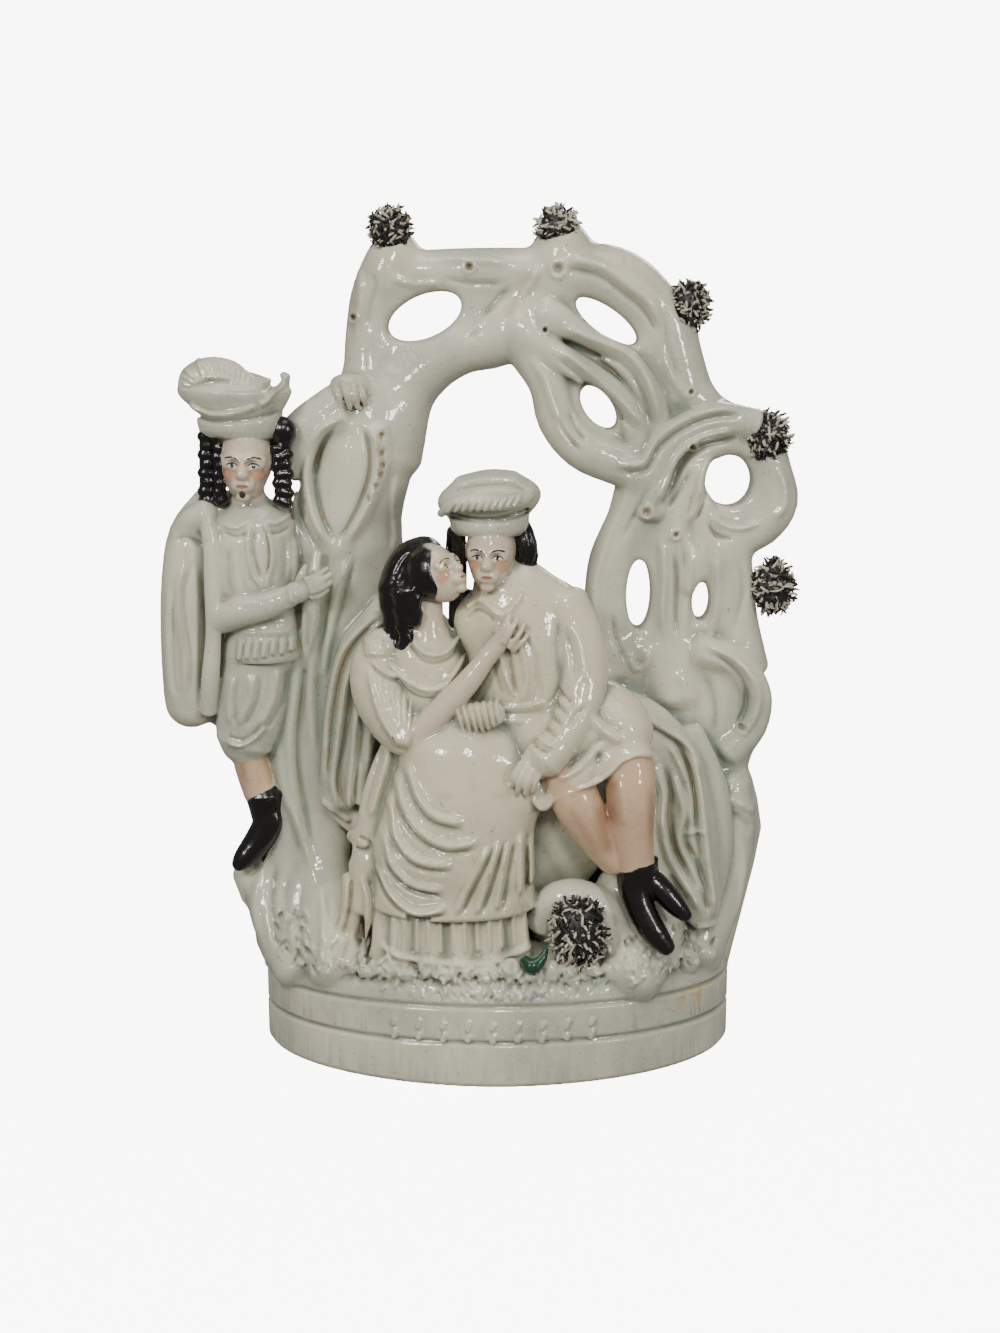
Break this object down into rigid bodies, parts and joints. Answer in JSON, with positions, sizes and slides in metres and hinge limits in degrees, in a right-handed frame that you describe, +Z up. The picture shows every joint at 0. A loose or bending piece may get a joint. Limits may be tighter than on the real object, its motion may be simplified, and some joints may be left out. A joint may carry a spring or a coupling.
{
  "type": "staffordshire figure group",
  "caption": "Glazed earthenware flatback: a seated couple under a pierced tree arbour, a caped figure standing beside them, on a stepped oval base.",
  "frame": {"origin": "on the flat underside of the base, on the line where the base is widest, midway across", "axes": "+Z up, the figures face -Y, +X to the viewer's right"},
  "size_m": [0.2484, 0.0917, 0.3297],
  "materials": {
    "glazed_earthenware": "glossy cream-white lead glaze, blue-grey where it pools, black and flesh enamels",
    "shredded_clay": "rough shredded clay, black and cream, under a thin glaze"
  },
  "bodies": {
    "root": {"figure_group": "glazed_earthenware", "foliage_tuft_left": "shredded_clay", "foliage_tuft_crown": "shredded_clay", "foliage_tuft_shoulder": "shredded_clay", "foliage_tuft_branch": "shredded_clay", "foliage_tuft_bole": "shredded_clay", "foliage_tuft_ground": "shredded_clay"}
  },
  "joints": []
}
